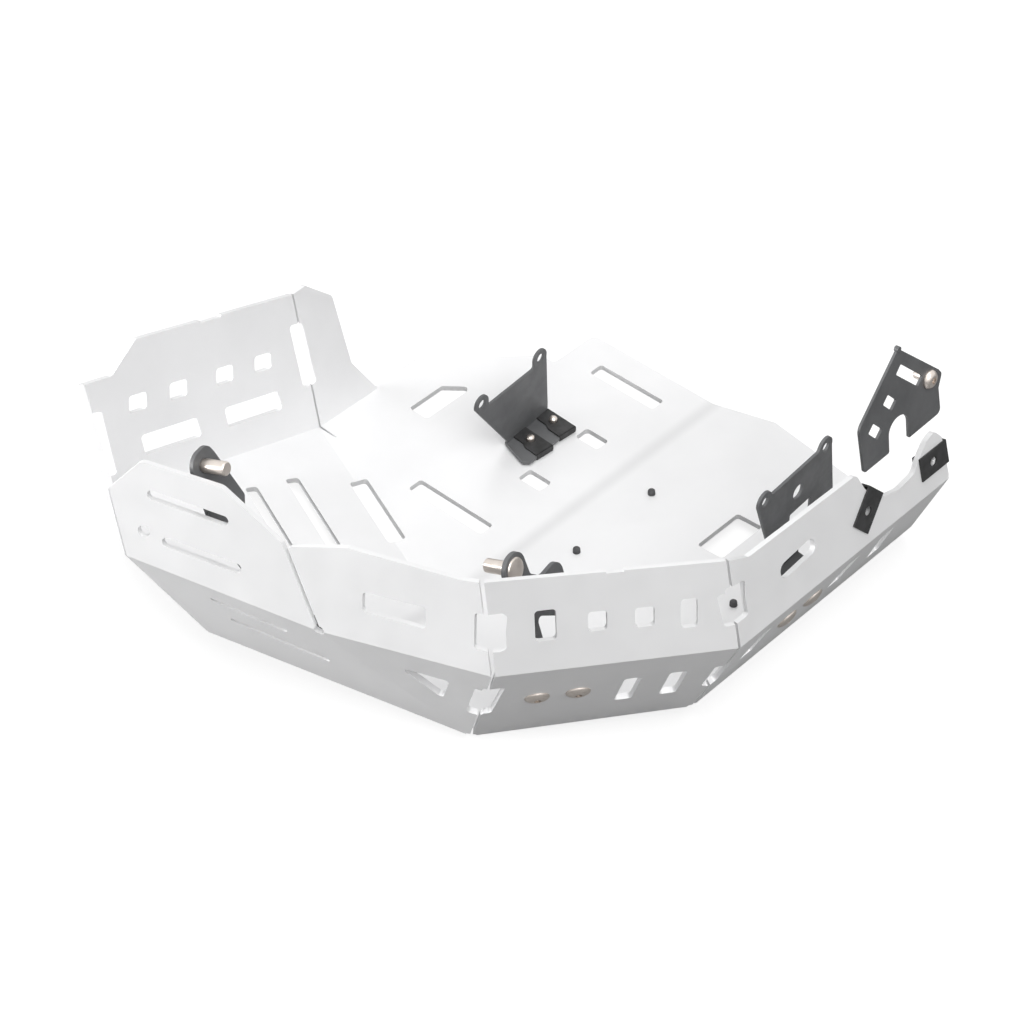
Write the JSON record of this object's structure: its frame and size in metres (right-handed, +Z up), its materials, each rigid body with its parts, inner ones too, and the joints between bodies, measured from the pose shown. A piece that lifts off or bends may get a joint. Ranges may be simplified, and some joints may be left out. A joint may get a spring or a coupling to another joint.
{
  "type": "engine guard",
  "caption": "Folded sheet-metal engine guard: a perforated tub with flared strips, leaning side walls and a pipe cut-out, with dark brackets, pins and clip nuts that hold it under an engine.",
  "frame": {"origin": "on the main floor's underside, halfway along the floor and on the centre line of its row of holes", "axes": "+Z up from the floor, +X from the tall wall towards the sloping rear walls, +Y towards the open side"},
  "size_m": [0.4671, 0.4883, 0.2103],
  "materials": {
    "sheet": "bead-blasted, clear anodised",
    "bracket": "dark satin powder coat",
    "clip": "black phosphate",
    "stud": "matt black",
    "fastener": "bright stainless",
    "nut": "zinc plated",
    "pin": "turned stainless"
  },
  "bodies": {
    "root": {"guard_sheet": "sheet", "centre_bracket": "bracket", "side_bracket": "bracket", "corner_bracket": "bracket", "front_bracket": "bracket", "pipe_bracket": "bracket", "centre_clip_nuts": "clip", "rim_clip_nuts": "clip", "floor_studs": "stud", "centre_screws": "fastener", "side_screws": "fastener", "corner_screws": "fastener", "front_screws": "fastener", "pipe_screw": "fastener", "side_nuts": "nut", "corner_nuts": "nut", "front_nuts": "nut", "corner_pin": "pin", "front_pin": "pin"}
  },
  "joints": []
}
